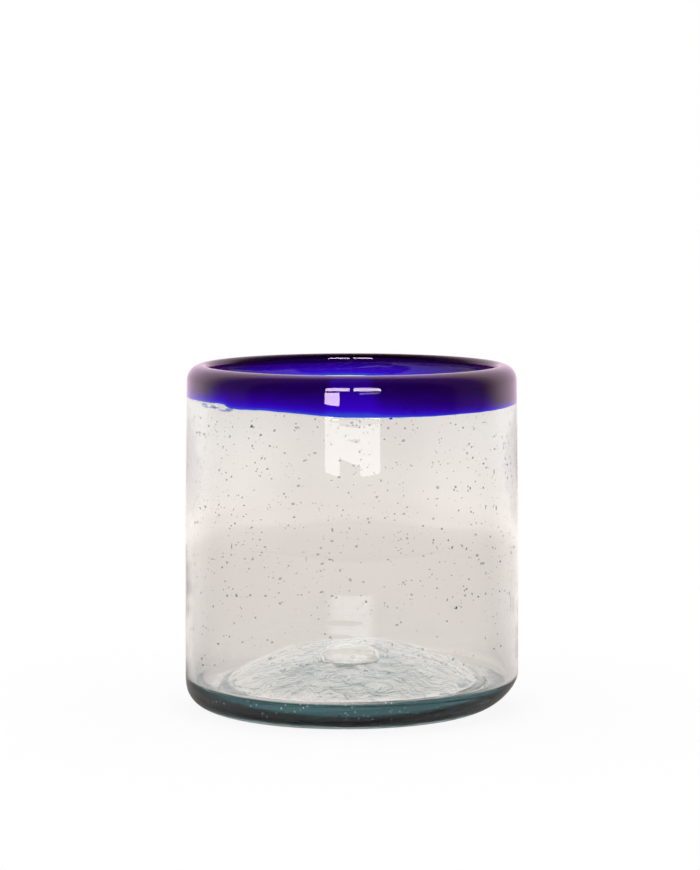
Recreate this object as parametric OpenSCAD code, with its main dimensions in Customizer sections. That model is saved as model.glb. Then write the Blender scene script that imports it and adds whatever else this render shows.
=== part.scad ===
// Straight-sided margarita tumbler of hand-blown recycled glass with a cobalt lip.
// Three gathers of glass: the clear blown body, the cobalt wrap fused on its lip, and the
// dab that the pontil rod leaves under the base. Millimetres, +Z up, origin under the foot.

/* [Overall] */
// Height from the table to the crest of the lip
glass_h = 94.5; // [82:0.5:115]
// Outside diameter at the heel, the widest place
body_d = 92; // [82:1:110]
// How far the wall draws in on its way from the heel to the lip
draw_in = 0.8; // [0.2:0.1:2.4]

/* [Wall and base] */
// Thickness of the blown wall under the lip, where it is thinnest
wall_t = 2.2; // [1.6:0.1:3.2]
// How much thicker the wall is where it reaches the floor
thicken = 0.6; // [0.2:0.1:1.2]
// Outside radius of the heel
heel_r = 10; // [6:0.5:12]
// Thickness of the floor over the foot ring
floor_t = 8; // [6:0.5:11]
// Radius of the inside corner between floor and wall
corner_r = 2; // [1:0.5:4]
// Width of the flat ring that the glass stands on
foot_w = 5; // [3:0.5:9]

/* [Kick-up] */
// Height of the hollow under the base, up to the pontil seat
punt_h = 5; // [4:0.5:8]
// Height of the mound that the hollow raises in the floor
mound_h = 10; // [7:0.5:12]
// Flat valley left between the mound and the inside corner
valley_w = 5.5; // [3:0.5:8]

/* [Cobalt lip] */
// Thickness of the lip
lip_t = 5.8; // [5.2:0.1:6.6]
// Radius of the lip's outer round, the inner round takes the rest of the thickness
lip_round = 4.2; // [3.4:0.1:4.4]
// Height over which the lip thins down to the wall, below its outer round
taper_h = 46; // [30:1:52]
// Height of the cobalt band on the outside
band_h = 10.1; // [9.5:0.1:13]
// How much higher the cobalt's edge lies on the inside
lap_h = 7.5; // [4:0.5:7.5]

/* [Pontil mark] */
// Radius of the flat under the kick-up that the rod was stuck to
seat_r = 9; // [8:0.5:12]
// Radius of the dab of glass left there
dab_r = 8; // [5:0.5:8]
// Thickness of the dab
dab_t = 1.4; // [1:0.1:2.4]
// Depth of the hollow broken out of the dab
scar_depth = 0.6; // [0.2:0.1:0.8]

/* [Hidden] */
$fn = 128;
// Straight lengths that stand for the drawn-in wall, and as many for the lip's taper
wall_steps = 10;
// How far a cut reaches past what it cuts
past = 1;
body_r = body_d / 2;

// The lip's outer and inner rounds meet at its crest
lip_z = glass_h - lip_round;
lip_out = outer_r(lip_z);
crest_r = lip_out - lip_round;
lip_in_round = lip_t - lip_round;
lip_in = crest_r - lip_in_round;
inside_z = glass_h - lip_in_round;
taper_z = lip_z - taper_h;

// Edges of the cobalt: low on the outside, lapped up on the inside
band_z = glass_h - band_h;
band_r = outer_r(band_z);
lap_z = band_z + lap_h;

corner_z = floor_t + corner_r;
floor_r = inner_r(corner_z);
mound_r = floor_r - corner_r - valley_w;
mound_ball = cap_radius(mound_r, mound_h);
foot_r = body_r - heel_r;
punt_r = foot_r - foot_w;
// Centre of the ball that passes through the foot's inner edge and the pontil seat's rim
punt_centre = (seat_r ^ 2 + punt_h ^ 2 - punt_r ^ 2) / (2 * punt_h);
punt_ball = norm([punt_r, punt_centre]);
dab_edge = dab_t / 2;

// Outside of the wall at height z: upright at the heel, drawn in towards the lip
function outer_r(z) = body_r - draw_in * ((z - heel_r) / (glass_h - heel_r)) ^ 2;
// Inside of the wall below the lip's taper, thickening slowly down to the floor
function inner_r(z) = outer_r(z) - wall_t - thicken * (taper_z - z) / (taper_z - corner_z);
// Inside of the taper, which swells from the thin wall to the thick lip without an edge
function taper_r(z) = let (part = (z - taper_z) / taper_h, swell = part ^ 2 * (3 - 2 * part))
    outer_r(z) - wall_t - (outer_r(z) - wall_t - lip_in) * swell;

// Radius of the ball whose cap has this base radius and height
function cap_radius(base_r, height) = (base_r ^ 2 + height ^ 2) / (2 * height);

// Heights from low to high that follow the drawn-in wall
function stations(low, high) = [for (i = [0:wall_steps]) low + (high - low) * i / wall_steps];

// Outside of the glass up to the lip's round, filled to the axis
module outer_form() {
    polygon([
        [0, heel_r],
        for (z = stations(heel_r, lip_z)) [outer_r(z), z],
        [0, lip_z]
    ]);
    square([foot_r, heel_r]);
    translate([foot_r, heel_r]) circle(heel_r);
}

// What the glass holds: the room above the floor and its mound
module inner_form() {
    difference() {
        union() {
            polygon([
                [0, corner_z],
                for (z = stations(corner_z, taper_z)) [inner_r(z), z],
                for (z = stations(taper_z, lip_z)) [taper_r(z), z],
                [lip_in, glass_h],
                [0, glass_h]
            ]);
            translate([0, floor_t]) square([floor_r - corner_r, corner_r]);
            translate([floor_r - corner_r, corner_z]) circle(corner_r);
        }
        translate([0, floor_t + mound_h - mound_ball]) circle(mound_ball);
    }
}

// Hollow under the base, flat on top where the pontil rod was stuck
module punt_form() {
    intersection() {
        translate([0, punt_centre]) circle(punt_ball);
        translate([0, -past]) square([body_r, punt_h + past]);
    }
}

// Rounded top of the lip
module lip_form() {
    intersection() {
        translate([crest_r, lip_z]) circle(lip_round);
        translate([crest_r, lip_z]) square(lip_round);
    }
    intersection() {
        translate([crest_r, inside_z]) circle(lip_in_round);
        translate([lip_in, inside_z]) square(lip_in_round);
    }
    translate([lip_in, lip_z]) square([lip_in_round, inside_z - lip_z]);
}

// Half section of the whole glass, to the right of the axis
module glass_section() {
    difference() {
        outer_form();
        inner_form();
        punt_form();
    }
    lip_form();
}

// Everything over the scarf on which the cobalt is fused to the clear wall
module above_scarf() {
    slope = lap_h / (band_r - lip_in);
    polygon([
        [0, lap_z],
        [lip_in, lap_z],
        [band_r + past, band_z - past * slope],
        [band_r + past, glass_h + past],
        [0, glass_h + past]
    ]);
}

module clear_body() {
    color([0.82, 0.88, 0.88, 0.4]) rotate_extrude() difference() {
        glass_section();
        above_scarf();
    }
}

module cobalt_rim() {
    color([0.12, 0.03, 0.6, 0.8]) rotate_extrude() intersection() {
        glass_section();
        above_scarf();
    }
}

// Broken dab on the ceiling of the kick-up, round at its edge and hollow in its middle
module pontil_dab() {
    scar_ball = cap_radius(dab_r - dab_t, scar_depth);
    color([0.86, 0.9, 0.9, 0.5]) translate([0, 0, punt_h - dab_t]) rotate_extrude() difference() {
        union() {
            square([dab_r - dab_edge, dab_t]);
            intersection() {
                translate([dab_r - dab_edge, dab_edge]) circle(dab_edge);
                square([dab_r, dab_t]);
            }
        }
        intersection() {
            translate([0, scar_depth - scar_ball]) circle(scar_ball);
            translate([0, -past]) square([dab_r, dab_t + past]);
        }
    }
}

clear_body();
cobalt_rim();
pontil_dab();
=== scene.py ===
import math
import random

import bmesh
import bpy
from mathutils import Euler, Matrix, Vector, noise


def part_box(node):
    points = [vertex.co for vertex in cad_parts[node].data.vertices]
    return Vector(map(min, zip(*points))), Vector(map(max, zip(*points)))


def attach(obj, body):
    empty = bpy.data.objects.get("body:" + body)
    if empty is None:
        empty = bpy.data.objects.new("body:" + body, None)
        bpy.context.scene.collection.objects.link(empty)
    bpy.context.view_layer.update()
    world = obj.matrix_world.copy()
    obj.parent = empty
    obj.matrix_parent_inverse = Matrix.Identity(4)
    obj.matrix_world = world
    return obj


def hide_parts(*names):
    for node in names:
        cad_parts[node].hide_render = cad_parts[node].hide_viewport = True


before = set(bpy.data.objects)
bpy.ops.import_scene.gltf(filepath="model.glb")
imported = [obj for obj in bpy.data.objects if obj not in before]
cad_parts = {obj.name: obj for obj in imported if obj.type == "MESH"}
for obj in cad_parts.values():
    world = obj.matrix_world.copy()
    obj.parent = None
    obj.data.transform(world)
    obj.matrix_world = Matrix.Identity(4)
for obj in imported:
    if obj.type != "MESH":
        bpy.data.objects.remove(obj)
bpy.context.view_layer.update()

# Lengths below are in millimetres unless a name says otherwise
MM = 0.001

# A hair, which rounding may add to the height
HAIR = 0.001

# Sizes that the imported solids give
BODY_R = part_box("clear_body")[1].x / MM
LAP_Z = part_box("clear_body")[1].z / MM
BAND_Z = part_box("cobalt_rim")[0].z / MM
GLASS_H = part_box("cobalt_rim")[1].z / MM - HAIR
PUNT_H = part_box("pontil_dab")[1].z / MM
DAB_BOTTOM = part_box("pontil_dab")[0].z / MM
DAB_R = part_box("pontil_dab")[1].x / MM

# Form of the blown body
DRAW_IN = 0.8
WALL_T = 2.2
THICKEN = 0.6
HEEL_R = 10
FOOT_R = BODY_R - HEEL_R
FOOT_W = 5
FLOOR_T = 8
CORNER_R = 2
MOUND_H = 10
VALLEY_W = 5.5
SEAT_R = 9

# Form of the lip
LIP_T = 5.8
LIP_ROUND = 4.2
TAPER_H = 46
LIP_IN_ROUND = LIP_T - LIP_ROUND
INSIDE_Z = GLASS_H - LIP_IN_ROUND
LIP_Z = GLASS_H - LIP_ROUND
TAPER_Z = LIP_Z - TAPER_H

# How quickly the cobalt thickens above its edge: 1 for evenly, less for later
LAP_CURVE = 0.87
# How much lower the cobalt's thick part hangs by the angle from the photographed side
LAP_SAG = (
    (-180, -1.2), (-140, -1.2), (-90, 0), (-10, 0), (-7, -3.6), (5, -3.6),
    (11, 0), (24, 1.2), (38, 2), (80, 2), (140, -1.2), (180, -1.2),
)
# Height over which the cobalt pales down to its edge
FEATHER = 2.2

# Painted shade on the heel's skin, teal to near black: how wide it sets in beside the foot, how far it
# reaches above the floor's edge and how gently it ends there
HEEL_START = 1
HEEL_RISE = 1.7
HEEL_FADE = 0.4
# How high its dark part reaches at the front and at the side
HEEL_DARK = (4.9, 8.8)
# Between which heights it pales towards the table, as a painted reflection of it, and the share left there
HEEL_PALE = (1.2, 2.0)
HEEL_LOW = 0.12

# Clear gap between two fused skins, too thin to show
SKIN_GAP = 0.03

# Broken dab under the kick-up
DAB_EDGE = 0.7
SCAR_DEPTH = 0.5
# How far its outline is broken in, how many waves that has and where they start in the noise
DAB_FRAY = 2.2
DAB_WAVES = 1.6
DAB_SALT = Vector((9, 4, 2))
# Radius at which the hollow beside it is smooth again
DAB_REACH = 13

# The dulled patch in the hollow: its radius, how far it lies to the back, and how its edge frays
DULL_R = 29
DULL_BACK = 1.5
DULL_FRAY = 4
DULL_SPACING = 6

# Steps round the axis
TURN_STEPS = 200
# Steps along the body's half section, from the pole under the base to the floor's pole
SEAT_STEPS = 8
SEAT_EDGE_STEPS = 2
HOLLOW_STEPS = 30
FOOT_STEPS = 5
HEEL_STEPS = 24
WALL_STEPS = 110
SCARF_STEPS = 16
CORNER_STEPS = 12
VALLEY_STEPS = 4
MOUND_STEPS = 30
# Steps along the half sections of the cobalt and the dab
BAND_STEPS = 24
LIP_STEPS = 18
LIP_IN_STEPS = 10
SCAR_STEPS = 8
DAB_EDGE_STEPS = 10
DAB_TOP_STEPS = 4
# A fold sharper than this shows as an edge
SHARP_ANGLE = math.radians(32)

# How the hand shows: the floor leans and sinks at the wall, which follows it up to this height
# over the corner
FLOOR_TILT = math.radians(0.65)
FLOOR_SINK = 0.8
FLOOR_REACH = 60
# The foot stands off centre
FOOT_SHIFT = 1.8
# Swells and ripples of the skins, and how far short of the widest place they have their full depth
SWELL_FULL = 1
SWELL = 0.12
SWELL_SPACING = 30
RIPPLE = 0.006
INNER_RIPPLE = 0.02
RIPPLE_SPACING = 3.5
INNER_SWELL = 0.2
INNER_SPACING = 18
# Crinkles of the mound, broad and fine, and the share of them that the hollow under it has
CRINKLE = 0.35
CRINKLE_SPACING = 9
FINE_CRINKLE = 0.2
FINE_SPACING = 2.5
HOLLOW_CRINKLE = 0.3

# Lower edge of the cobalt, turning from the join of its trail: degrees, rise over the mean edge
TRAIL_JOIN = -46
TRAIL_EDGE = (
    (0, 0.6), (18, 0.72), (20, 0.5), (46, -0.6), (70, -0.7), (94, -0.5),
    (136, 0.05), (230, 3.6), (326, 1.6), (358, 1.65), (360, 0.6),
)
# How far that edge frays and over how many degrees, and how far below it the wall follows
TRAIL_FRAY = 0.1
FRAY_SPACING = 4
EDGE_FOLLOW = 14

# Seeds, the small bubbles that stay in recycled glass
SEED = 11
WALL_SEEDS = 1250
BASE_SEEDS = 120
SEED_R = (0.1, 0.32)
SEED_FLAT = 0.6
# Painted shade in a seed, on the scale where 1 is the teal and 2 the dark of the heel
SEED_SHADE = 0.6
# Seeds of the wall: how far they keep above the corner and below the cobalt, and how they crowd upwards
SEEDS_ABOVE = 4
SEEDS_BELOW = 2
SEEDS_CROWD = 0.75
# Their depth as shares of the wall, their lean in radians, how long they are drawn,
# and how rare large ones are
SEED_DEPTH = (0.25, 0.75)
SEED_LEAN = 0.5
SEED_DRAWN = (1, 2.2)
SEED_RARE = 2.5
# Seeds of the base: between which radii and heights they lie, how tall they are drawn,
# and how rare large ones are
BASE_RING = (FOOT_R - 2, FOOT_R + 5)
BASE_HEIGHT = (3, 5.5)
BASE_DRAWN = (1, 3)
BASE_RARE = 2

# Larger bubbles: their depth as a share of the wall, and the most that half their thickness may be
BUBBLE_DEPTH = 0.45
BUBBLE_THICK = 0.5
# Their places: degrees from the front, height, half width, half height
BUBBLES = (
    (-36.6, 80.5, 0.9, 0.35), (-19.0, 80.9, 0.9, 0.3), (-44.7, 48.4, 0.22, 0.9), (58.1, 67.3, 0.2, 0.8),
    (58.9, 57.5, 0.25, 0.7), (-42.3, 35.4, 0.5, 0.5), (37.3, 32.5, 0.6, 0.5), (74, 30, 0.25, 2.5),
)

# Speck of cobalt carried into the clear wall: degrees, height, half width, half height
FLECK = (13, 83.5, 0.6, 0.25)
# Smudge of cobalt by its two ends, as degrees and height, and how many wisps make it
SMUDGE = ((-62, 85.3), (-46, 84.2))
WISPS = 16
# How far the wisps stray, their half widths and half heights, and their feather value
WISP_STRAY = 0.5
WISP_WIDE = (0.8, 2.2)
WISP_TALL = (0.15, 0.5)
WISP_PALE = 2
# Depth of carried cobalt as a share of the wall, and half its thickness
FLECK_DEPTH = 0.06
FLECK_THICK = 0.1


def outer_radius(z):
    return BODY_R - DRAW_IN * ((z - HEEL_R) / (GLASS_H - HEEL_R)) ** 2


def smooth(low, high, value):
    share = min(max((value - low) / (high - low), 0), 1)
    return share * share * (3 - 2 * share)


def between(stations, place):
    """A value that runs smoothly from one station to the next."""
    for (a, low), (b, high) in zip(stations, stations[1:]):
        if a <= place <= b:
            return low + (high - low) * smooth(a, b, place)


def arc(centre, radius, start, end, steps):
    """Points of an arc in the half section, from one angle to the other in degrees."""
    turns = [math.radians(start + (end - start) * i / steps) for i in range(steps + 1)]
    return [(centre[0] + radius * math.cos(a), centre[1] + radius * math.sin(a)) for a in turns]


def line(start, end, steps):
    """Points from start up to, but not including, end."""
    return [tuple(a + (b - a) * i / steps for a, b in zip(start, end)) for i in range(steps)]


# Heights and radii that the sections share
LIP_OUT = outer_radius(LIP_Z)
CREST_R = LIP_OUT - LIP_ROUND
LIP_IN = CREST_R - LIP_IN_ROUND
CORNER_Z = FLOOR_T + CORNER_R
FLOOR_R = BODY_R - WALL_T - THICKEN


def inner_radius(z):
    """Inside of the wall, which thickens slowly down to the floor and up to the lip."""
    low = max((TAPER_Z - z) / (TAPER_Z - CORNER_Z), 0)
    blown = outer_radius(z) - WALL_T - THICKEN * low
    return blown + (LIP_IN - blown) * smooth(TAPER_Z, LIP_Z, z)


def scarf(lift):
    """The fused lap, from its feather edge outside to its end inside."""
    points = []
    for i in range(SCARF_STEPS + 1):
        depth = i / SCARF_STEPS
        z = BAND_Z + lift + (LAP_Z - BAND_Z) * depth ** LAP_CURVE
        tags = {"lap": 1, "follow": 1 - depth, "sag": 4 * depth * (1 - depth), "feather": float(i == 0)}
        points.append((outer_radius(z) + (inner_radius(z) - outer_radius(z)) * depth, z, tags))
    return points


def body_section():
    """Half section from the pole under the base, round the outside and in to the floor's pole."""
    punt_r = FOOT_R - FOOT_W
    ball_z = (SEAT_R ** 2 + PUNT_H ** 2 - punt_r ** 2) / (2 * PUNT_H)
    ball_r = math.hypot(punt_r, ball_z)
    mound_r = FLOOR_R - CORNER_R - VALLEY_W
    mound_ball = (mound_r ** 2 + MOUND_H ** 2) / (2 * MOUND_H)
    mound_z = FLOOR_T + MOUND_H - mound_ball
    seat_angle = math.degrees(math.atan2(PUNT_H - ball_z, SEAT_R))
    foot_angle = math.degrees(math.atan2(-ball_z, punt_r))
    mound_angle = math.degrees(math.atan2(FLOOR_T - mound_z, mound_r))
    seat = line((0, PUNT_H), (DAB_R - DAB_EDGE, PUNT_H), SEAT_STEPS) + [(DAB_R - DAB_EDGE, PUNT_H)]
    hollow = line((DAB_R, PUNT_H), (SEAT_R, PUNT_H), SEAT_EDGE_STEPS)
    hollow += arc((0, ball_z), ball_r, seat_angle, foot_angle, HOLLOW_STEPS)
    outside = line((punt_r, 0), (FOOT_R, 0), FOOT_STEPS)[1:]
    outside += arc((FOOT_R, HEEL_R), HEEL_R, -90, 0, HEEL_STEPS)
    outside += [(outer_radius(z), z) for _, z in line((0, HEEL_R), (0, BAND_Z), WALL_STEPS)[1:]]
    inside = [(inner_radius(z), z) for _, z in line((0, LAP_Z), (0, CORNER_Z), WALL_STEPS)[1:]]
    inside += arc((FLOOR_R - CORNER_R, CORNER_Z), CORNER_R, 0, -90, CORNER_STEPS)
    inside += line((FLOOR_R - CORNER_R, FLOOR_T), (mound_r, FLOOR_T), VALLEY_STEPS)[1:]
    inside += arc((0, mound_z), mound_ball, mound_angle, 90, MOUND_STEPS)
    section = [(r, z, {"lap": 1}) for r, z in seat]
    section += [(r, z, {"under": 1}) for r, z in hollow]
    for r, z in outside:
        follow = smooth(BAND_Z - EDGE_FOLLOW, BAND_Z, z)
        section.append((r, z, {"follow": follow, "heel": float(z < 2 * HEEL_R)}))
    section += scarf(0)
    section += [(r, z, {"inside": 1}) for r, z in inside]
    return section


def rim_section():
    """Closed half section of the cobalt wrap, from its feather edge up and over the lip."""
    heights = [z for _, z in line((0, BAND_Z + SKIN_GAP), (0, LIP_Z), BAND_STEPS)[1:]]
    band = [(outer_radius(z), z) for z in heights]
    top = arc((CREST_R, LIP_Z), LIP_ROUND, 0, 90, LIP_STEPS)
    top += arc((CREST_R, INSIDE_Z), LIP_IN_ROUND, 90, 180, LIP_IN_STEPS)[1:]
    lap = scarf(SKIN_GAP)
    section = lap[:1]
    for r, z in band:
        pale = 1 - smooth(BAND_Z, BAND_Z + FEATHER, z)
        section.append((r, z, {"follow": 1 - smooth(BAND_Z, LIP_Z, z), "feather": pale}))
    section += [(r, z, {}) for r, z in top]
    section += lap[:0:-1]
    return section


def dab_section():
    """Half section of the dab, from the pole of its broken face out to its edge and up to the seat."""
    low = DAB_BOTTOM
    high = PUNT_H - SKIN_GAP
    scar_r = DAB_R - 2 * DAB_EDGE
    shares = [i / SCAR_STEPS for i in range(SCAR_STEPS)]
    scar = [(scar_r * share, low + SCAR_DEPTH * (1 - share ** 2)) for share in shares]
    edge = arc((DAB_R - DAB_EDGE, low + DAB_EDGE), DAB_EDGE, -90, 90, DAB_EDGE_STEPS)
    top = line((DAB_R - DAB_EDGE, high), (0, high), DAB_TOP_STEPS) + [(0, high)]
    section = [(r, z, {"under": 1}) for r, z in scar + edge[:-1]]
    section += [(r, z, {"lap": 1}) for r, z in top]
    return section


# What a point of a section can carry to the shaping and the materials
TAGS = ("inside", "under", "lap", "follow", "sag", "feather", "heel", "painted_shade")


def turned(section, closed):
    """A bmesh of the section, turned a full circle about the axis, with its tags on the vertices."""
    bm = bmesh.new()
    layers = {name: bm.verts.layers.float.new(name) for name in TAGS}
    verts = []
    for r, z, tags in section:
        vert = bm.verts.new((r, 0, z))
        for name, value in tags.items():
            vert[layers[name]] = value
        verts.append(vert)
    ends = verts[1:] + verts[:1] if closed else verts[1:]
    edges = [bm.edges.new(pair) for pair in zip(verts, ends)]
    bmesh.ops.spin(
        bm, geom=verts + edges, cent=(0, 0, 0), axis=(0, 0, 1),
        angle=2 * math.pi, steps=TURN_STEPS, use_merge=True,
    )
    bmesh.ops.remove_doubles(bm, verts=bm.verts, dist=1e-4)
    bmesh.ops.recalc_face_normals(bm, faces=bm.faces)
    mark_fused(bm)
    return bm


def mark_fused(bm):
    """Marks the faces of a lap, where light passes unbent from one glass into the other."""
    fused = bm.faces.layers.float.new("fused")
    lap = bm.verts.layers.float["lap"]
    for face in bm.faces:
        face[fused] = all(vert[lap] == 1 for vert in face.verts)


def mark_hollow(bm):
    """Gives the dulled patch of the hollow under the base the piece's second material."""
    under = bm.verts.layers.float["under"]
    for face in bm.faces:
        at = face.calc_center_median()
        edge = DULL_R + DULL_FRAY * noise.noise(Vector((at.x, at.y, 0)) / DULL_SPACING)
        inside = math.hypot(at.x, at.y - DULL_BACK) < edge
        face.material_index = int(inside and all(vert[under] == 1 for vert in face.verts))


def facing(point):
    """Angle round the axis in degrees, from the photographed side towards +X."""
    return math.degrees(math.atan2(point.x, -point.y))


def trail_rise(angle):
    """How far the cobalt's lower edge lies above its mean at this angle."""
    turn = (angle - TRAIL_JOIN) % 360
    return between(TRAIL_EDGE, turn) + TRAIL_FRAY * noise.noise((turn / FRAY_SPACING, 0, 0))


def ring_noise(point, spacing, stretch, salt):
    """Noise that changes quickly with height and slowly round the glass."""
    away = Vector((point.x, point.y, 0)).normalized() * stretch
    return noise.noise(Vector((away.x + salt, away.y, point.z / spacing)))


def crinkled(point, salt):
    """Folds that chilled glass keeps on the mound and in the hollow under it."""
    broad = noise.noise(Vector((point.x, point.y, salt)) / CRINKLE_SPACING)
    fine = noise.noise(Vector((point.x, point.y, salt)) / FINE_SPACING)
    return CRINKLE * broad + FINE_CRINKLE * fine


def broken_in(away, r, z):
    """How far the dab and the hollow beside its seat are drawn towards the axis, unevenly round it."""
    near = smooth(0, DAB_R, r) * smooth(DAB_REACH, DAB_R, r) * float(z <= PUNT_H)
    return DAB_FRAY * near * (0.5 + noise.noise(away * DAB_WAVES + DAB_SALT))


def shape_by_hand(bm):
    """Moves the turned vertices as a blower's hand would leave them."""
    layers = {name: bm.verts.layers.float[name] for name in TAGS}
    for vert in bm.verts:
        at = vert.co.copy()
        tag = {name: vert[layer] for name, layer in layers.items()}
        away = Vector((at.x, at.y, 0))
        r = away.length
        if r > 0:
            away.normalize()
        push = 0
        lift = 0
        if tag["inside"]:
            wall = smooth(FLOOR_T, CORNER_Z + VALLEY_W, at.z)
            wall *= smooth(LAP_Z, LAP_Z - INNER_SPACING, at.z)
            wall *= smooth(FLOOR_R - CORNER_R - VALLEY_W, FLOOR_R, r)
            push = INNER_SWELL * ring_noise(at, INNER_SPACING, stretch=1.5, salt=7) * wall
            push += INNER_RIPPLE * ring_noise(at, RIPPLE_SPACING, stretch=0.8, salt=5) * wall
            low = 1 - smooth(CORNER_Z, CORNER_Z + FLOOR_REACH, at.z)
            sunk = FLOOR_SINK * smooth(FLOOR_R - 3 * VALLEY_W, FLOOR_R - CORNER_R, r)
            lift = (at.x * math.tan(FLOOR_TILT) - sunk) * low
            mound = smooth(FLOOR_R - CORNER_R, FLOOR_R - CORNER_R - 2 * VALLEY_W, r)
            lift += crinkled(at, salt=40) * mound
        elif tag["under"]:
            lift = HOLLOW_CRINKLE * crinkled(at, salt=0) * smooth(0, PUNT_H, at.z)
            lift = min(lift, PUNT_H - at.z)
        else:
            push = -SWELL * (1 + ring_noise(at, SWELL_SPACING, stretch=1.2, salt=0)) / 2
            calm = smooth(BAND_Z, BAND_Z - RIPPLE_SPACING, at.z)
            push -= RIPPLE * (1 + ring_noise(at, RIPPLE_SPACING, stretch=0.8, salt=3)) * calm
            push *= smooth(FOOT_R, BODY_R - SWELL_FULL, r) * (tag["follow"] if tag["lap"] else 1)
            vert.co.x -= FOOT_SHIFT * (1 - smooth(0, HEEL_R, at.z)) * smooth(0, FOOT_R, r)
        # Painted shade on the heel's skin, teal to near black, with its dark part reaching higher at the
        # sides
        if tag["heel"]:
            top_z = FLOOR_T - FLOOR_SINK + HEEL_RISE + at.x * math.tan(FLOOR_TILT)
            painted_shade = smooth(FOOT_R, FOOT_R + HEEL_START, r) * (1 - smooth(top_z - HEEL_FADE, top_z, at.z))
            # Painted reflection of the table: the shade pales towards it
            painted_shade *= HEEL_LOW + (1 - HEEL_LOW) * smooth(*HEEL_PALE, at.z)
            dark_z = HEEL_DARK[0] + (HEEL_DARK[1] - HEEL_DARK[0]) * away.x ** 2
            vert[layers["painted_shade"]] = painted_shade * (2 - smooth(dark_z - HEEL_FADE, dark_z + HEEL_FADE, at.z))
        if tag["follow"]:
            lift += trail_rise(facing(at)) * tag["follow"]
        if tag["sag"]:
            lift -= between(LAP_SAG, facing(at)) * tag["sag"]
        if not tag["inside"]:
            push -= max(broken_in(away, r, at.z), 0)
        vert.co += away * push + Vector((0, 0, lift))


def new_ball():
    """A low ball of radius 1, the pattern for bubbles and flecks."""
    bm = bmesh.new()
    bmesh.ops.create_uvsphere(bm, u_segments=6, v_segments=4, radius=1)
    bm.verts.index_update()
    return bm


BALL = new_ball()


def add_ball(bm, place, half_sizes, turn, hollow=False):
    """Copies the ball as an ellipsoid, its skin facing inwards for a hollow, and gives its vertices."""
    frame_at = Matrix.LocRotScale(place, turn, half_sizes)
    verts = [bm.verts.new(frame_at @ vert.co) for vert in BALL.verts]
    for face in BALL.faces:
        corners = [verts[vert.index] for vert in face.verts]
        bm.faces.new(reversed(corners) if hollow else corners)
    return verts


def wall_place(angle, z, depth):
    """A place inside the wall and the turn that faces it outwards."""
    turn = math.radians(angle)
    r = outer_radius(z) + (inner_radius(z) - outer_radius(z)) * depth
    return Vector((r * math.sin(turn), -r * math.cos(turn), z)), Euler((0, 0, turn))


def add_seed(body, place, half_sizes, turn):
    """Leaves a bubble: a hollow whose skin faces inwards, with painted shade on it."""
    painted_shade = body.verts.layers.float["painted_shade"]
    for vert in add_ball(body, place, half_sizes, turn, hollow=True):
        vert[painted_shade] = SEED_SHADE


def blow_seeds(body):
    """Leaves bubbles in the wall and the base."""
    chance = random.Random(SEED)
    for angle, z, wide, tall in BUBBLES:
        place, turn = wall_place(angle, z, BUBBLE_DEPTH)
        add_seed(body, place, (wide, min(wide, tall, BUBBLE_THICK), tall), turn)
    low = CORNER_Z + SEEDS_ABOVE
    high = BAND_Z - SEEDS_BELOW
    smallest, largest = SEED_R
    for _ in range(WALL_SEEDS):
        z = low + (high - low) * chance.random() ** SEEDS_CROWD
        place, turn = wall_place(chance.uniform(-180, 180), z, chance.uniform(*SEED_DEPTH))
        size = smallest + (largest - smallest) * chance.random() ** SEED_RARE
        turn.rotate_axis("Y", chance.gauss(0, SEED_LEAN))
        add_seed(body, place, (size * chance.uniform(*SEED_DRAWN), size * SEED_FLAT, size), turn)
    for _ in range(BASE_SEEDS):
        angle = chance.uniform(0, 2 * math.pi)
        r = chance.uniform(*BASE_RING)
        place = Vector((r * math.sin(angle), r * math.cos(angle), chance.uniform(*BASE_HEIGHT)))
        size = smallest + (largest - smallest) * chance.random() ** BASE_RARE
        add_seed(body, place, (size, size, size * chance.uniform(*BASE_DRAWN)), Euler((0, 0, angle)))


def carry_fleck(bm, angle, z, wide, tall, feather):
    """Adds cobalt that lies in the clear wall below the band, paler the higher its feather value."""
    place, turn = wall_place(angle, z, FLECK_DEPTH)
    verts = add_ball(bm, place, (wide, FLECK_THICK, tall), turn)
    for vert in verts:
        vert[bm.verts.layers.float["feather"]] = feather
    for face in {face for vert in verts for face in vert.link_faces}:
        face[bm.faces.layers.float["fused"]] = 1


def smudge_cobalt(bm):
    """Adds the speck, and the smudge as a row of pale wisps that lie over each other."""
    chance = random.Random(SEED)
    carry_fleck(bm, *FLECK, feather=0)
    (left, high), (right, low) = SMUDGE
    for _ in range(WISPS):
        along = chance.random()
        angle = left + (right - left) * along
        z = high + (low - high) * along + chance.uniform(-WISP_STRAY, WISP_STRAY)
        carry_fleck(bm, angle, z, chance.uniform(*WISP_WIDE), chance.uniform(*WISP_TALL), WISP_PALE)


def to_metres(bm):
    bmesh.ops.scale(bm, vec=(MM, MM, MM), verts=bm.verts)


def piece(name, bm, materials, stands_for):
    """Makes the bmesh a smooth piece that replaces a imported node."""
    mesh = bpy.data.meshes.new(name)
    bm.to_mesh(mesh)
    bm.free()
    mesh.shade_smooth()
    mesh.set_sharp_from_angle(angle=SHARP_ANGLE)
    for material in materials:
        mesh.materials.append(material)
    obj = bpy.data.objects.new(name, mesh)
    bpy.context.collection.objects.link(obj)
    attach(obj, "root")
    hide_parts(stands_for)


# Index at which soda-lime glass bends light, and lower ones for its roughened skins, which mirror less
GLASS_IOR = 1.51
DULL_IOR = 1.2
BROKEN_IOR = 1.25

# Painted glints, light specks in the heel's painted shade: spacing, how they are drawn out upwards, where
# their edge begins and ends in the pattern, and the share of painted shade inside and outside it
SPECK_SPACING = 1.3
SPECK_DRAWN = (1, 1, 0.6)
SPECK_EDGE = (0.09, 0.2)
SPECK_SHADE = (0.15, 0.5)

# Where the frost under the kick-up grows paler, going back from the front, and by how much
CALM_Y = (-28, -12)
CALM_PALE = 0.1

# Places of the colours among the sockets of a Mix node
MIX_A = 6
MIX_B = 7
MIX_OUT = 2


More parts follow.
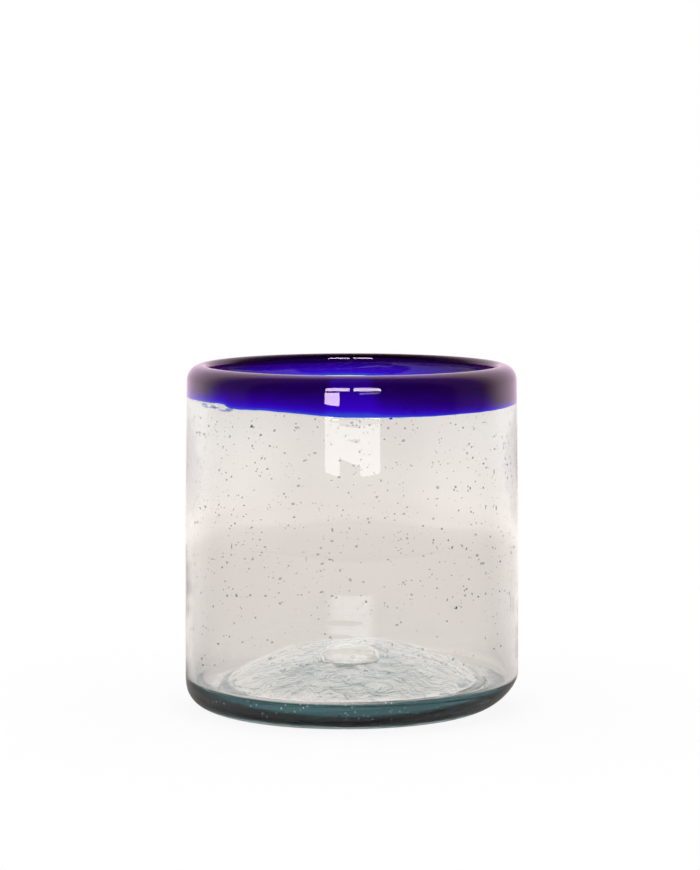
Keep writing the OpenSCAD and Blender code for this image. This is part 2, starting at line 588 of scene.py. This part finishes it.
def linear(hex_colour):
    """An sRGB hex colour as linear red, green, blue and alpha."""
    parts = [int(hex_colour[i:i + 2], 16) / 255 for i in (1, 3, 5)]
    return [c / 12.92 if c <= 0.04045 else ((c + 0.055) / 1.055) ** 2.4 for c in parts] + [1]


def add(tree, kind, inputs=(), **settings):
    """Adds a node with its settings, and sets or links its inputs."""
    node = tree.nodes.new(kind)
    for name, value in settings.items():
        setattr(node, name, value)
    for key, value in dict(inputs).items():
        if isinstance(value, bpy.types.NodeSocket):
            tree.links.new(value, node.inputs[key])
        else:
            node.inputs[key].default_value = value
    return node


def new_material(name):
    material = bpy.data.materials.new(name)
    material.use_nodes = True
    material.node_tree.nodes.clear()
    return material, material.node_tree


def fused_ior(tree, ior=GLASS_IOR):
    """Bends light as glass at every skin but the fused laps."""
    fused = add(tree, "ShaderNodeAttribute", attribute_name="fused")
    return add(tree, "ShaderNodeMapRange", {"Value": fused.outputs["Fac"], "To Min": ior, "To Max": 1.0})


def clear_glass():
    """Recycled soda-lime glass, blown: nearly clear, with a sea-green cast where it is deep.

    The heel's skin has painted shade, teal to near black, with light specks in it as painted glints."""
    material, tree = new_material("blown recycled soda-lime glass")
    # Painted shade of the heel and the seeds, laid on the side where light enters
    shade_layer = add(tree, "ShaderNodeAttribute", attribute_name="painted_shade")
    side = add(tree, "ShaderNodeNewGeometry")
    place = add(tree, "ShaderNodeTexCoord")
    drawn = add(tree, "ShaderNodeVectorMath", {
        0: place.outputs["Object"], 1: SPECK_DRAWN,
    }, operation="MULTIPLY")
    specks = add(tree, "ShaderNodeTexVoronoi", {
        "Vector": drawn.outputs["Vector"], "Scale": 1 / (SPECK_SPACING * MM),
    })
    painted_shade = add(tree, "ShaderNodeMapRange", {
        "Value": specks.outputs["Distance"], "From Min": SPECK_EDGE[0], "From Max": SPECK_EDGE[1],
        "To Min": SPECK_SHADE[0], "To Max": SPECK_SHADE[1],
    })
    painted_shade = add(tree, "ShaderNodeMath", {0: shade_layer.outputs["Fac"], 1: painted_shade.outputs[0]}, operation="MULTIPLY")
    share = add(tree, "ShaderNodeMapRange", {
        "Value": side.outputs["Backfacing"], "To Min": painted_shade.outputs[0], "To Max": 0.0,
    })
    shade_tint = add(tree, "ShaderNodeValToRGB", {"Fac": share.outputs[0]})
    ramp = shade_tint.color_ramp.elements
    ramp[0].color = linear("#FFFDFC")
    ramp[1].color = linear("#0E0D0D")
    ramp.new(0.5).color = linear("#27494E")
    glass = add(tree, "ShaderNodeBsdfPrincipled", {
        "Base Color": shade_tint.outputs["Color"],
        "Roughness": 0.0,
        "IOR": fused_ior(tree).outputs["Result"],
        "Transmission Weight": 1,
    })
    depth = add(tree, "ShaderNodeVolumeAbsorption", {"Color": linear("#D8E6E8"), "Density": 32})
    add(tree, "ShaderNodeOutputMaterial", {"Surface": glass.outputs[0], "Volume": depth.outputs[0]})
    return material


def cobalt_glass():
    """Cobalt glass, fire-polished: azure where it is thin, violet blue where it is thick.

    A sheen gives the mauve bloom at its ends."""
    material, tree = new_material("fire-polished cobalt glass")
    feather = add(tree, "ShaderNodeAttribute", attribute_name="feather")
    share = add(tree, "ShaderNodeMath", {0: feather.outputs["Fac"], 1: 0.5}, operation="MULTIPLY")
    tint = add(tree, "ShaderNodeValToRGB", {"Fac": share.outputs[0]})
    ramp = tint.color_ramp.elements
    ramp[0].color = linear("#4106FF")
    ramp[1].color = linear("#D6DDF8")
    ramp.new(0.5).color = linear("#3565FF")
    glass = add(tree, "ShaderNodeBsdfPrincipled", {
        "Base Color": tint.outputs["Color"],
        "Specular Tint": linear("#FFE4F0"),
        "Sheen Weight": 0.42,
        "Sheen Roughness": 0.42,
        "Sheen Tint": linear("#D04CD2"),
        "Roughness": 0.0,
        "IOR": fused_ior(tree).outputs["Result"],
        "Transmission Weight": 1,
    })
    depth = add(tree, "ShaderNodeVolumeAbsorption", {"Color": linear("#B10059"), "Density": 500})
    add(tree, "ShaderNodeOutputMaterial", {"Surface": glass.outputs[0], "Volume": depth.outputs[0]})
    return material


def frosted(tree, spacing, relief):
    """Mottled tint and fine folds of glass chilled while it was worked, paler away from the front."""
    place = add(tree, "ShaderNodeTexCoord")
    frost = add(tree, "ShaderNodeTexNoise", {
        "Vector": place.outputs["Object"], "Scale": 1 / (spacing * MM), "Detail": 5, "Roughness": 0.65,
        "Distortion": 0.8,
    })
    axes = add(tree, "ShaderNodeSeparateXYZ", {0: place.outputs["Object"]})
    calm = add(tree, "ShaderNodeMapRange", {
        "Value": axes.outputs["Y"], "From Min": CALM_Y[0] * MM, "From Max": CALM_Y[1] * MM,
        "To Min": 0.0, "To Max": CALM_PALE,
    }, interpolation_type="SMOOTHSTEP")
    shade = add(tree, "ShaderNodeMath", {0: frost.outputs["Fac"], 1: calm.outputs[0]}, operation="ADD")
    tint = add(tree, "ShaderNodeValToRGB", {"Fac": shade.outputs[0]})
    ramp = tint.color_ramp.elements
    ramp[0].position = 0.3
    ramp[0].color = linear("#7C8C8E")
    ramp[1].position = 0.52
    ramp[1].color = linear("#FFFBF8")
    bump = add(tree, "ShaderNodeBump", {
        "Height": frost.outputs["Fac"], "Strength": 0.5, "Distance": relief * MM,
    })
    return {"Base Color": tint.outputs["Color"], "Normal": bump.outputs["Normal"]}


def dull_glass():
    """The same glass under the kick-up, dulled by the paddle: the mound over it glows icy white."""
    material, tree = new_material("paddled soda-lime glass")
    glass = add(tree, "ShaderNodeBsdfPrincipled", {
        "Roughness": 0.25, "IOR": DULL_IOR, "Transmission Weight": 1,
        **frosted(tree, spacing=4, relief=1.5),
    })
    add(tree, "ShaderNodeOutputMaterial", {"Surface": glass.outputs[0]})
    return material


def broken_glass():
    """Clear glass cracked off the rod: the break scatters light to a frosty grey."""
    material, tree = new_material("cracked-off soda-lime glass")
    glass = add(tree, "ShaderNodeBsdfPrincipled", {
        "Roughness": 0.3, "IOR": fused_ior(tree, BROKEN_IOR).outputs["Result"], "Transmission Weight": 1,
        **frosted(tree, spacing=3, relief=1.5),
    })
    add(tree, "ShaderNodeOutputMaterial", {"Surface": glass.outputs[0]})
    return material


# The camera, from the photographed outline: metres, radians, and millimetres for its lens and sensor
CAMERA_AWAY = 0.8821
CAMERA_UP = 0.1609
CAMERA_ASIDE = -0.0005
CAMERA_PITCH = 0.09714
CAMERA_LENS = 133.5
CAMERA_SENSOR = 36


def make_camera():
    data = bpy.data.cameras.new("camera")
    data.lens = CAMERA_LENS
    data.sensor_width = CAMERA_SENSOR
    camera = bpy.data.objects.new("camera", data)
    camera.location = (CAMERA_ASIDE, -CAMERA_AWAY, CAMERA_UP)
    camera.rotation_euler = (math.pi / 2 - CAMERA_PITCH, 0, 0)
    bpy.context.collection.objects.link(camera)
    bpy.context.scene.camera = camera


# Paper as the glass shows it, the room as the glass mirrors it, and how much of the shadow is bleached
PAPER = "#FFF9F5"
ROOM = "#FFF6F4"
BLEACH = 0.88

# The mirrored room by how far back a direction points: a grey flat with its levels, then the white paper
FLAT_BACK = (-0.3, -0.2)
FLAT_LEVELS = (0.01, 0.12)
PAPER_BACK = (0.15, 0.65)

# The paper seen through the glass by how far a direction rises: horizon, the band over it, ceiling
HORIZON_RISE = (-0.02, 0.05)
HORIZON_LEVEL = 0.9
BAND_RISE = (0.15, 0.3)
BAND_LEVEL = 0.99
CEILING_RISE = (0.6, 0.9)
CEILING_LEVEL = 0.04

# The dark side of the room in front, by how far back a direction points: only light that a skin has
# mirrored on its way sees it
DARK_BACK = (-0.9, -0.3)
DARK_LEVEL = 0.25

# The floor, in metres: half its width, and how far it lies under the foot
FLOOR_HALF = 4
FLOOR_DROP = 0.1 * MM
# Its paper seen through the glass, darker near the glass as painted shadow: near and far from the axis, and
# to the sides
PAPER_NEAR = 0.78
PAPER_FAR = 0.91
PAPER_REACH = (0.1, 2.0)
SIDE_LEAN = (0.4, 0.95)
SIDE_LEVEL = 0.86
# Where the floor ends in the dark in front, where the paper under the foot ends, painted at full light
# there, and where mirrored light passes from the paper beside the glass to the room, painted as shade on it
FRONT_REACH = (-1.05, -0.88)
FRONT_LEVEL = 0.05
UNDER_REACH = (0.031, 0.034)
BESIDE_REACH = (0.06, 0.11)
BESIDE_LEVEL = 0.45


def room_level(tree, back):
    """Light of the room by how far to the back a direction points: dark, a grey flat, white paper."""
    flat = add(tree, "ShaderNodeMapRange", {
        "Value": back, "From Min": FLAT_BACK[0], "From Max": FLAT_BACK[1],
        "To Min": FLAT_LEVELS[0], "To Max": FLAT_LEVELS[1],
    })
    paper = add(tree, "ShaderNodeMapRange", {
        "Value": back, "From Min": PAPER_BACK[0], "From Max": PAPER_BACK[1], "To Min": 0.0, "To Max": 1.0,
    }, interpolation_type="SMOOTHSTEP")
    return add(tree, "ShaderNodeMath", {0: flat.outputs[0], 1: paper.outputs[0]}, operation="ADD")


def mirrored_ray(tree, ray):
    """1 for a ray that was last mirrored, not bent through."""
    return add(tree, "ShaderNodeMath", {
        0: ray.outputs["Is Glossy Ray"], 1: ray.outputs["Is Transmission Ray"],
    }, operation="SUBTRACT", use_clamp=True)


def straight_ray(tree, ray):
    """1 for a ray that no skin has mirrored on its way."""
    return add(tree, "ShaderNodeMath", {0: ray.outputs["Glossy Depth"], 1: 0.5}, operation="LESS_THAN")


def make_world():
    """White for the camera and the floor; glass mirrors the room and shows pale paper through itself."""
    world = bpy.data.worlds.new("studio")
    bpy.context.scene.world = world
    world.cycles.sampling_method = "NONE"
    world.use_nodes = True
    tree = world.node_tree
    tree.nodes.clear()
    ray = add(tree, "ShaderNodeLightPath")
    way = add(tree, "ShaderNodeTexCoord")
    axes = add(tree, "ShaderNodeSeparateXYZ", {0: way.outputs["Generated"]})
    dark = add(tree, "ShaderNodeMapRange", {
        "Value": axes.outputs["Y"], "From Min": DARK_BACK[0], "From Max": DARK_BACK[1],
        "To Min": DARK_LEVEL, "To Max": 1.0,
    }, interpolation_type="SMOOTHSTEP")
    dark = add(tree, "ShaderNodeMath", {
        0: dark.outputs[0], 1: straight_ray(tree, ray).outputs[0],
    }, operation="MAXIMUM")
    ceiling = add(tree, "ShaderNodeMapRange", {
        "Value": axes.outputs["Z"], "From Min": CEILING_RISE[0], "From Max": CEILING_RISE[1],
        "To Min": 1.0, "To Max": CEILING_LEVEL,
    }, interpolation_type="SMOOTHSTEP")
    band = add(tree, "ShaderNodeMapRange", {
        "Value": axes.outputs["Z"], "From Min": BAND_RISE[0], "From Max": BAND_RISE[1],
        "To Min": BAND_LEVEL, "To Max": ceiling.outputs[0],
    }, interpolation_type="SMOOTHSTEP")
    sky = add(tree, "ShaderNodeMapRange", {
        "Value": axes.outputs["Z"], "From Min": HORIZON_RISE[0], "From Max": HORIZON_RISE[1],
        "To Min": HORIZON_LEVEL, "To Max": band.outputs[0],
    }, interpolation_type="SMOOTHSTEP")
    through = add(tree, "ShaderNodeMath", {
        0: dark.outputs[0], 1: sky.outputs[0],
    }, operation="MULTIPLY")
    mirrored = mirrored_ray(tree, ray)
    level = add(tree, "ShaderNodeMix", {
        "Factor": mirrored.outputs[0],
        "A": through.outputs[0], "B": room_level(tree, axes.outputs["Y"]).outputs[0],
    }, data_type="FLOAT")
    plain = add(tree, "ShaderNodeMath", {
        0: ray.outputs["Is Camera Ray"], 1: ray.outputs["Diffuse Depth"],
    }, operation="MAXIMUM", use_clamp=True)
    level = add(tree, "ShaderNodeMath", {
        0: plain.outputs[0], 1: level.outputs[0],
    }, operation="MAXIMUM")
    tinted = add(tree, "ShaderNodeMix", {
        "Factor": mirrored.outputs[0], MIX_A: linear(PAPER), MIX_B: linear(ROOM),
    }, data_type="RGBA")
    colour = add(tree, "ShaderNodeMix", {
        "Factor": plain.outputs[0], MIX_A: tinted.outputs[MIX_OUT], MIX_B: linear("#FFFFFF"),
    }, data_type="RGBA")
    light = add(tree, "ShaderNodeBackground", {
        "Color": colour.outputs[MIX_OUT], "Strength": level.outputs[0],
    })
    add(tree, "ShaderNodeOutputWorld", {"Surface": light.outputs[0]})


def stage_sheet(name, corners, material):
    """A flat sheet of the studio between corner points in metres."""
    bm = bmesh.new()
    bm.faces.new([bm.verts.new(corner) for corner in corners])
    mesh = bpy.data.meshes.new(name)
    bm.to_mesh(mesh)
    bm.free()
    mesh.materials.append(material)
    sheet = bpy.data.objects.new(name, mesh)
    bpy.context.collection.objects.link(sheet)
    return sheet


def make_floor():
    """White paper, which the glass shows pale and warm through itself and mirrors as dark as the room."""
    material, tree = new_material("white studio paper")
    ray = add(tree, "ShaderNodeLightPath")
    place = add(tree, "ShaderNodeTexCoord")
    away = add(tree, "ShaderNodeVectorMath", {0: place.outputs["Object"]}, operation="LENGTH")
    way = add(tree, "ShaderNodeVectorMath", {0: place.outputs["Object"]}, operation="NORMALIZE")
    axes = add(tree, "ShaderNodeSeparateXYZ", {0: way.outputs["Vector"]})
    spot = add(tree, "ShaderNodeSeparateXYZ", {0: place.outputs["Object"]})
    # Painted shadow: the paper that the glass shows is darker near the glass, and darker to the sides
    far = add(tree, "ShaderNodeMapRange", {
        "Value": away.outputs["Value"], "From Min": PAPER_REACH[0], "From Max": PAPER_REACH[1],
        "To Min": PAPER_NEAR, "To Max": PAPER_FAR,
    }, interpolation_type="SMOOTHSTEP")
    aside = add(tree, "ShaderNodeMath", {0: axes.outputs["X"]}, operation="ABSOLUTE")
    side = add(tree, "ShaderNodeMapRange", {
        "Value": aside.outputs[0], "From Min": SIDE_LEAN[0], "From Max": SIDE_LEAN[1],
        "To Min": 1.0, "To Max": SIDE_LEVEL,
    }, interpolation_type="SMOOTHSTEP")
    far = add(tree, "ShaderNodeMath", {0: far.outputs[0], 1: side.outputs[0]}, operation="MULTIPLY")
    front = add(tree, "ShaderNodeMapRange", {
        "Value": spot.outputs["Y"], "From Min": FRONT_REACH[0], "From Max": FRONT_REACH[1],
        "To Min": FRONT_LEVEL, "To Max": far.outputs[0],
    }, interpolation_type="SMOOTHSTEP")
    shown = add(tree, "ShaderNodeMix", {
        "Factor": straight_ray(tree, ray).outputs[0], "A": front.outputs[0], "B": far.outputs[0],
    }, data_type="FLOAT")
    # Painted light: the paper under the foot glows at full strength
    under = add(tree, "ShaderNodeMapRange", {
        "Value": away.outputs["Value"], "From Min": UNDER_REACH[0], "From Max": UNDER_REACH[1],
        "To Min": 1.0, "To Max": shown.outputs[0],
    }, interpolation_type="SMOOTHSTEP")
    # Painted shade for mirrored light: the paper beside the glass at a mid level, further out as dark as the
    # room
    beside = add(tree, "ShaderNodeMapRange", {
        "Value": away.outputs["Value"], "From Min": BESIDE_REACH[0], "From Max": BESIDE_REACH[1],
        "To Min": BESIDE_LEVEL, "To Max": room_level(tree, axes.outputs["Y"]).outputs[0],
    }, interpolation_type="SMOOTHSTEP")
    room = add(tree, "ShaderNodeVectorMath", {
        0: linear(ROOM)[:3], "Scale": beside.outputs[0],
    }, operation="SCALE")
    shade = add(tree, "ShaderNodeMix", {
        "Factor": mirrored_ray(tree, ray).outputs[0], MIX_A: linear("#FFFFFF"), MIX_B: room.outputs[0],
    }, data_type="RGBA")
    paint = add(tree, "ShaderNodeBsdfDiffuse", {"Color": shade.outputs[MIX_OUT]})
    paper = add(tree, "ShaderNodeEmission", {"Color": linear(PAPER), "Strength": under.outputs[0]})
    bleach = add(tree, "ShaderNodeMath", {
        0: ray.outputs["Is Camera Ray"], 1: BLEACH,
    }, operation="MULTIPLY")
    white = add(tree, "ShaderNodeEmission", {"Color": linear("#FFFFFF"), "Strength": 1})
    lit = add(tree, "ShaderNodeMixShader", {
        0: bleach.outputs[0], 1: paint.outputs[0], 2: white.outputs[0],
    })
    seen = add(tree, "ShaderNodeMixShader", {
        0: ray.outputs["Is Transmission Ray"], 1: lit.outputs[0], 2: paper.outputs[0],
    })
    add(tree, "ShaderNodeOutputMaterial", {"Surface": seen.outputs[0]})
    quarters = ((-1, -1), (1, -1), (1, 1), (-1, 1))
    corners = [(x * FLOOR_HALF, y * FLOOR_HALF, -FLOOR_DROP) for x, y in quarters]
    stage_sheet("floor", corners, material)


# The low window that the glass mirrors, in metres: how far in front it stands
WINDOW_AWAY = 0.83
# Its panes by how bright they are, each as x and z of its lower left and upper right corner
PANES = {
    1.7: (
        ((-0.265, 0.0302), (0.28, 0.0345)),
    ),
    4.2: (
        ((-0.265, 0.0034), (-0.117, 0.0302)),
        ((-0.117, 0.0135), (0.079, 0.0285)),
        ((0.079, 0.0034), (0.28, 0.0302)),
        ((0.08, 0.05), (0.28, 0.085)),
    ),
    17: (
        ((-0.265, 0.04), (-0.117, 0.09)),
        ((-0.265, 0.2), (-0.02, 0.57)),
        ((0.02, 0.2), (0.3, 0.57)),
    ),
}
# The window's light on the table, in metres: its ends in front of the glass, and how high it lies
TABLE_LIGHT = (0.13, 0.21)
TABLE_LIFT = 0.5 * MM
# Half its width over the distance, how bright it is, and how many skins its light may cross
TABLE_SPREAD = 0.3
TABLE_LEVEL = 3.4
TABLE_SKINS = 2


def light_sheet(name, corners, level):
    """A sheet of light that only the glass mirrors."""
    material, tree = new_material(name)
    shine = add(tree, "ShaderNodeEmission", {"Color": linear("#FFFFFF"), "Strength": level})
    add(tree, "ShaderNodeOutputMaterial", {"Surface": shine.outputs[0]})
    sheet = stage_sheet(name, corners, material)
    sheet.visible_camera = False
    sheet.visible_diffuse = False
    sheet.visible_transmission = False
    sheet.visible_shadow = False
    return sheet


def soften(sheet):
    """Fades a patch of table light to its sides, and keeps it to what the front wall mirrors."""
    tree = sheet.data.materials[0].node_tree
    ray = add(tree, "ShaderNodeLightPath")
    place = add(tree, "ShaderNodeTexCoord")
    axes = add(tree, "ShaderNodeSeparateXYZ", {0: place.outputs["Object"]})
    slant = add(tree, "ShaderNodeMath", {
        0: axes.outputs["X"], 1: axes.outputs["Y"],
    }, operation="DIVIDE")
    slant = add(tree, "ShaderNodeMath", {0: slant.outputs[0]}, operation="ABSOLUTE")
    fade = add(tree, "ShaderNodeMapRange", {
        "Value": slant.outputs[0], "From Min": 0.5 * TABLE_SPREAD, "From Max": TABLE_SPREAD,
        "To Min": TABLE_LEVEL, "To Max": PAPER_NEAR,
    }, interpolation_type="SMOOTHSTEP")
    near = add(tree, "ShaderNodeMath", {
        0: ray.outputs["Transmission Depth"], 1: TABLE_SKINS + 0.5,
    }, operation="LESS_THAN")
    shine = add(tree, "ShaderNodeMix", {
        "Factor": near.outputs[0], "A": PAPER_NEAR, "B": fade.outputs[0],
    }, data_type="FLOAT")
    tree.links.new(shine.outputs[0], tree.nodes["Emission"].inputs["Strength"])


def make_window():
    y = -WINDOW_AWAY
    for level, panes in PANES.items():
        for (left, low), (right, high) in panes:
            corners = ((left, y, low), (right, y, low), (right, y, high), (left, y, high))
            light_sheet("window pane", corners, level)
    near, far = TABLE_LIGHT
    ends = [(side * away * TABLE_SPREAD, -away, TABLE_LIFT) for away in (near, far) for side in (-1, 1)]
    patch = light_sheet("table light", (ends[0], ends[1], ends[3], ends[2]), TABLE_LEVEL)
    patch.visible_glossy = False
    patch.visible_transmission = True
    soften(patch)


make_camera()
make_world()
make_floor()
make_window()

body = turned(body_section(), False)
mark_hollow(body)
shape_by_hand(body)
blow_seeds(body)
to_metres(body)
piece("clear_body_blown", body, [clear_glass(), dull_glass()], "clear_body")

rim = turned(rim_section(), True)
shape_by_hand(rim)
smudge_cobalt(rim)
to_metres(rim)
piece("cobalt_rim_wrapped", rim, [cobalt_glass()], "cobalt_rim")

dab = turned(dab_section(), False)
shape_by_hand(dab)
to_metres(dab)
piece("pontil_dab_broken", dab, [broken_glass()], "pontil_dab")

# Light has to pass many skins of glass
GLASS_BOUNCES = 32
MIRROR_BOUNCES = 16

scene = bpy.context.scene
scene.view_settings.view_transform = "Standard"
scene.cycles.max_bounces = GLASS_BOUNCES
scene.cycles.transmission_bounces = GLASS_BOUNCES
scene.cycles.glossy_bounces = MIRROR_BOUNCES
